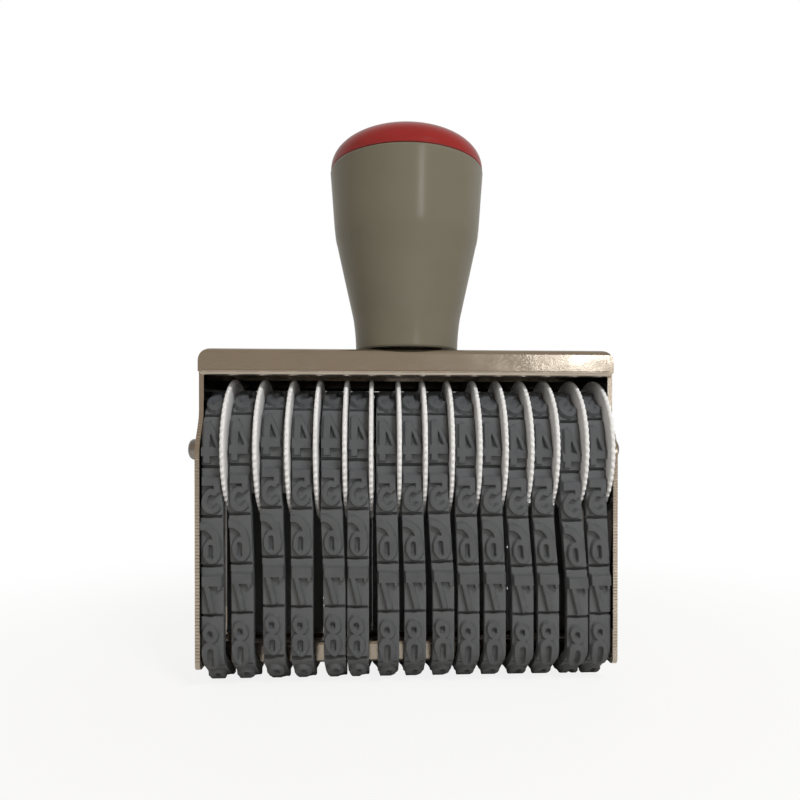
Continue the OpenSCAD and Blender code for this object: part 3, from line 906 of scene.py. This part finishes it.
# %% [markdown]
# The handle swells from a narrow foot to a shoulder and then runs nearly straight to its rim, so that the
# palm rests on the cap. It is hollow, with a boss for the screw. Its rim is rebated: the cap laps over it.
# %% Handle
FOOT_Z = size_of("handle")[0].z
LAP = 0.7
RIM_Z = size_of("handle")[1].z - LAP
RIM_R = size_of("handle")[1].x
GRIP = [(11.4, 0.35), (11.43, 1.5), (11.52, 3.2), (11.68, 5.0), (11.97, 7.3), (12.44, 9.5), (13.41, 13.9),
        (14.4, 18.4), (15.38, 22.9), (15.85, 24.9), (16.12, 27.1), (16.31, 29.4), (16.62, 33.8),
        (16.92, 37.9), (RIM_R, RIM_Z - FOOT_Z - 0.45)]
WALL, SCREW_R, BOSS_R, BOSS_Z, FLOOR_Z = 2.2, 2.5, 4.7, 19.0, 7.2
REBATE_R = RIM_R - 1.1
RIM_H = RIM_Z - FOOT_Z
outside = ([(11.1, 0.0)] + smooth_line(GRIP)
           + [(RIM_R - 0.12, RIM_H - 0.12), (RIM_R - 0.4, RIM_H), (REBATE_R, RIM_H), (REBATE_R, RIM_H + LAP)])
hollow = [(RIM_R - WALL, RIM_H + LAP), (13.7, 25.0), (9.8, FLOOR_Z), (BOSS_R, FLOOR_Z),
          (BOSS_R, BOSS_Z), (SCREW_R, BOSS_Z), (SCREW_R, 0.0)]
handle = lathe("grip", [(r, z + FOOT_Z) for r, z in outside + hollow])
dress(handle, ROOT, "handle_plastic", olive, "handle")

# %% [markdown]
# The cap is a domed shell, spun like the handle. Its spigot drops into the handle, and a fine shadow line
# shows where they meet.
# %% Cap
CAP_TOP = size_of("handle_cap")[1].z
CAP_R = size_of("handle_cap")[1].x
SKIRT_H, CAP_WALL, SPIGOT_R, SPIGOT_H, FULLNESS = 0.2, 1.8, 14.7, 4.0, 2.25
DOME_H = CAP_TOP - RIM_Z - SKIRT_H


def dome_line(radius, height, steps):
    """A dome a little fuller than an ellipse, from its edge to its top."""
    return [(radius * math.cos(a) ** (2 / FULLNESS), RIM_Z + SKIRT_H + height * math.sin(a) ** (2 / FULLNESS))
            for a in np.linspace(0, math.pi / 2, steps)[:-1]] + [(0.0, RIM_Z + SKIRT_H + height)]


cap_outline = ([(CAP_R - 0.15, RIM_Z + 0.05)] + dome_line(CAP_R, DOME_H, 36)
               + dome_line(SPIGOT_R - CAP_WALL, DOME_H - CAP_WALL, 20)[::-1]
               + [(SPIGOT_R - CAP_WALL - 0.3, RIM_Z - SPIGOT_H), (SPIGOT_R - 0.6, RIM_Z - SPIGOT_H),
                  (SPIGOT_R - 0.3, RIM_Z - SPIGOT_H + 0.3), (SPIGOT_R, RIM_Z + LAP + 0.05),
                  (REBATE_R + 0.05, RIM_Z + LAP + 0.05), (REBATE_R + 0.05, RIM_Z + 0.05)])
cap = lathe("palm_cap", cap_outline)
dress(cap, ROOT, "cap_plastic", red, "handle_cap")

# %% [markdown]
# ## Frame
# The frame's own solid has the right folds. Real sheet has no knife edges, though: a copy of the solid is
# welded, its flat facets are joined and its sharp edges get a small bevel. Weighted normals keep the large
# faces flat to the eye up to the bevel, so that a highlight stays where the sheet mirrors the lamp.
# %% Soften a copy of a CAD node


def softened(name, node, bevel_mm):
    """A copy of a CAD node, with its facets joined and its sharp edges rounded."""
    made = placed(name, frame["nodes"][node].data.copy())
    work = bmesh.new()
    work.from_mesh(made.data)
    bmesh.ops.remove_doubles(work, verts=work.verts, dist=0.001 * MM)
    bmesh.ops.dissolve_limit(work, angle_limit=math.radians(0.5), verts=work.verts, edges=work.edges)
    work.to_mesh(made.data)
    work.free()
    made.data.shade_smooth()
    bevel = made.modifiers.new("edges", "BEVEL")
    bevel.width = bevel_mm * MM
    bevel.segments = 2
    bevel.limit_method = "ANGLE"
    bevel.angle_limit = math.radians(28)
    flat = made.modifiers.new("flat faces", "WEIGHTED_NORMAL")
    flat.weight = 90
    flat.keep_sharp = True
    return applied(made)


frame_piece = softened("folded_frame", "frame", 0.15)
platen_piece = softened("platen_bar", "platen", 0.1)
print("frame:", len(frame_piece.data.polygons), "faces")

# %% [markdown]
# The skirts end in a rolled hem. A bead along each gives it the rounded lip that catches the light as a
# line, and the larger one behind closes the view over the drums.
# %% Beads along the hems
BEAD = [(-0.18, -0.3), (-0.3, -0.12), (-0.3, 0.12), (-0.18, 0.3), (0.2, 0.3), (0.2, -0.3)]


def bead(name, half_length, y_mm, z_mm, scale):
    """A rounded lip along the skirt, which catches the light as a line."""
    section = [(y_mm + dy * scale, z_mm + dz * scale) for dy, dz in BEAD]
    points = [(x, y, z) for x in (-half_length, half_length) for y, z in section]
    n = len(BEAD)
    faces = [(i, (i + 1) % n, n + (i + 1) % n, n + i) for i in range(n)]
    return mesh_object(name, points, faces + [tuple(range(n)), tuple(range(n, 2 * n))], 60)


SKIRT_Y, HEM_Z, BACK_HEM_Z = 10.5, 66.25, 63.0
extras = [bead("hem", WALL_IN, -SKIRT_Y, HEM_Z, 0.7),
          bead("back hem", WALL_IN, SKIRT_Y - 0.8, BACK_HEM_Z, 1.7)]
print("hems at", HEM_Z, "and", BACK_HEM_Z, "mm")

# %% [markdown]
# The side walls were sheared from the sheet, and their edges carry the marks of the tool: small ridges, one
# after another, no two quite the same size. They could be a bump in the material, but they show against the
# light, so they are shapes. Geometry Nodes set copies of one ridge along each edge, with a random size.
# %% Tool marks on the walls' edges


def edge_tree():
    """Sets copies of a ridge in a line, each scaled at random from a fixed seed."""
    tree, given = geometry_tree(
        "tool marks along an edge", Count="Int", Seed="Int", Start="Vector", Step="Vector")
    line = add_node(tree, "GeometryNodeMeshLine", {
        "Count": given["Count"], "Start Location": given["Start"], "Offset": given["Step"]},
        mode="OFFSET").outputs[0]
    size = add_node(tree, "FunctionNodeRandomValue", {
        0: (0.85, 0.6, 0.7), 1: (1.0, 1.0, 1.15), "Seed": given["Seed"]}, data_type="FLOAT_VECTOR").outputs[0]
    copies = add_node(tree, "GeometryNodeInstanceOnPoints", {
        "Points": line, "Instance": given["Geometry"], "Scale": size}).outputs[0]
    whole = add_node(tree, "GeometryNodeRealizeInstances", {0: copies}).outputs[0]
    done = add_node(tree, "GeometryNodeSetMaterial", {
        "Geometry": whole, "Material": given["Material"]}).outputs[0]
    add_node(tree, "NodeGroupOutput", {0: done})
    return tree


EDGE_FOOT, FLARE_FOOT, FLARE_STEP = (-13.0, 6.4), (-12.5, 51.2), (0.33, 0.62)
marks = edge_tree()
for seed, (side, start, step, count) in enumerate([
        (-1, EDGE_FOOT, (0, 0.68), 62), (1, EDGE_FOOT, (0, 0.62), 68),
        (-1, FLARE_FOOT, FLARE_STEP, 8), (1, FLARE_FOOT, FLARE_STEP, 8)]):
    ridge = bead("ridge", 0.46, 0, 0, 0.45)
    extras.append(run_tree(ridge, marks, count=count, seed=seed, material=nickel,
                           start=Vector((side * (WALL_OUT - SHEET / 2), *start)) * MM,
                           step=Vector((0, *step)) * MM))
dress(joined("hem_and_tool_marks", extras), ROOT, "nickel_steel", nickel)
dress(frame_piece, ROOT, "nickel_steel", nickel, "frame")
dress(platen_piece, ROOT, "nickel_steel", nickel, "platen")

# %% [markdown]
# ## Axle, nuts, washer and screw
# The axle is a steel rod with domed ends, so it is spun on the lathe like the handle and then laid along X.
# The nuts, the screw and the washer already have their right shape in the frame, and only get the small
# bevel that every real edge has.
# %% Axle, nuts, washer and screw
TIP = size_of("axle")[1].x
AXLE_R = 2.3
tip_line = [(0.0, TIP), (0.8, TIP - 0.06), (1.45, TIP - 0.22), (1.95, TIP - 0.5), (AXLE_R, TIP - 1.0)]
axle = lathe("axle_rod", tip_line + [(r, -x) for r, x in reversed(tip_line)], 64)
axle.data.transform(Matrix.Translation((0, 0, AXLE_Z * MM)) @ Matrix.Rotation(math.pi / 2, 4, "Y"))
dress(axle, ROOT, "steel", steel, "axle")
for node in ("axle_nut_left", "axle_nut_right", "handle_screw"):
    dress(softened("turned_" + node, node, 0.12), ROOT, "steel", steel, node)
dress(softened("fibre_washer", "handle_washer", 0.08), ROOT, "washer_fibre", fibre, "handle_washer")

# %% [markdown]
# ## Floor and light
# A wide pale floor goes over to plain white far away, so that no horizon line shows behind the machine. It
# glows only for the camera, so it throws no false light on the pieces.
# %% Floor
REACH = 9000
floor = mesh_object("floor", [(-REACH, -REACH, 0), (REACH, -REACH, 0), (REACH, REACH, 0), (-REACH, REACH, 0)],
                    [(0, 1, 2, 3)])
pale, tree, shader, place = material("pale studio floor", "f2f1ef", 0.6)
far = add_node(tree, "ShaderNodeVectorMath", {0: place}, operation="LENGTH")
fade = add_node(tree, "ShaderNodeMapRange", {
    "Value": far.outputs["Value"], "From Min": 0.05, "From Max": 0.2, "To Min": 0.85},
    interpolation_type="SMOOTHSTEP")
ray = add_node(tree, "ShaderNodeLightPath")
shown = add_node(tree, "ShaderNodeMath", {
    0: fade.outputs[0], 1: ray.outputs["Is Camera Ray"]}, operation="MULTIPLY")
glow = add_node(tree, "ShaderNodeEmission", {"Color": (1, 1, 1, 1), "Strength": 1.0})
blend = add_node(tree, "ShaderNodeMixShader", {0: shown.outputs[0], 1: shader.outputs[0], 2: glow.outputs[0]})
plug(tree, tree.nodes["Material Output"], {"Surface": blend.outputs[0]})
floor.data.materials.append(pale)
print("floor:", 2 * REACH, "mm across")

# %% [markdown]
# The light is that of a small product studio. A small soft key above and to the right leaves the underside
# of each character dark. A wide, weak strip in front fills the shadows between the bands. Neither is
# mirrored. A tall window far off to the right is the only lamp that is: it brightens the right end of the
# skirt and runs down the handle. A dim room, warmer in front, gives the nickel something to mirror.
# %% Room and lamps
world = bpy.data.worlds.new("room")
bpy.context.scene.world = world
world.use_nodes = True
tree = world.node_tree
tree.nodes.clear()
direction = add_node(tree, "ShaderNodeTexCoord")
axes = add_node(tree, "ShaderNodeSeparateXYZ", {0: direction.outputs["Generated"]})
behind = add_node(tree, "ShaderNodeMapRange", {
    "Value": axes.outputs["Y"], "From Min": -0.1, "From Max": 0.5}, interpolation_type="SMOOTHSTEP")
walls = add_node(tree, "ShaderNodeMix", {0: behind.outputs[0], 6: linear("a1968a"), 7: linear("bcbab6")},
                 data_type="RGBA")
room = add_node(tree, "ShaderNodeBackground", {"Color": walls.outputs[2], "Strength": 1.0})
white = add_node(tree, "ShaderNodeBackground", {"Color": (1, 1, 1, 1), "Strength": 1.0})
ray = add_node(tree, "ShaderNodeLightPath")
seen = add_node(tree, "ShaderNodeMixShader", {
    0: ray.outputs["Is Camera Ray"], 1: room.outputs[0], 2: white.outputs[0]})
add_node(tree, "ShaderNodeOutputWorld", {"Surface": seen.outputs[0]})


def soft_lamp(name, place_mm, target_mm, size_mm, watts, mirrored=True):
    """A white rectangular area lamp that looks at a point, and may stay out of reflections."""
    data = bpy.data.lights.new(name, "AREA")
    data.shape = "RECTANGLE"
    data.size, data.size_y = (s * MM for s in size_mm)
    data.energy = watts
    lamp = placed(name, data)
    lamp.location = Vector(place_mm) * MM
    aim = (Vector(target_mm) - Vector(place_mm)).to_track_quat("-Z", "Y")
    lamp.rotation_euler = aim.to_euler()
    lamp.visible_glossy = mirrored
    print(name, "lamp:", watts, "W")


soft_lamp("key", (150, -290, 330), (0, 0, 45), (110, 60), 0.95, mirrored=False)
soft_lamp("strip", (0, -420, 150), (0, 0, 30), (700, 60), 0.1, mirrored=False)
soft_lamp("window", (345, -1000, 300), (0, 0, 80), (60, 260), 0.42)
bpy.context.scene.view_settings.view_transform = "Standard"
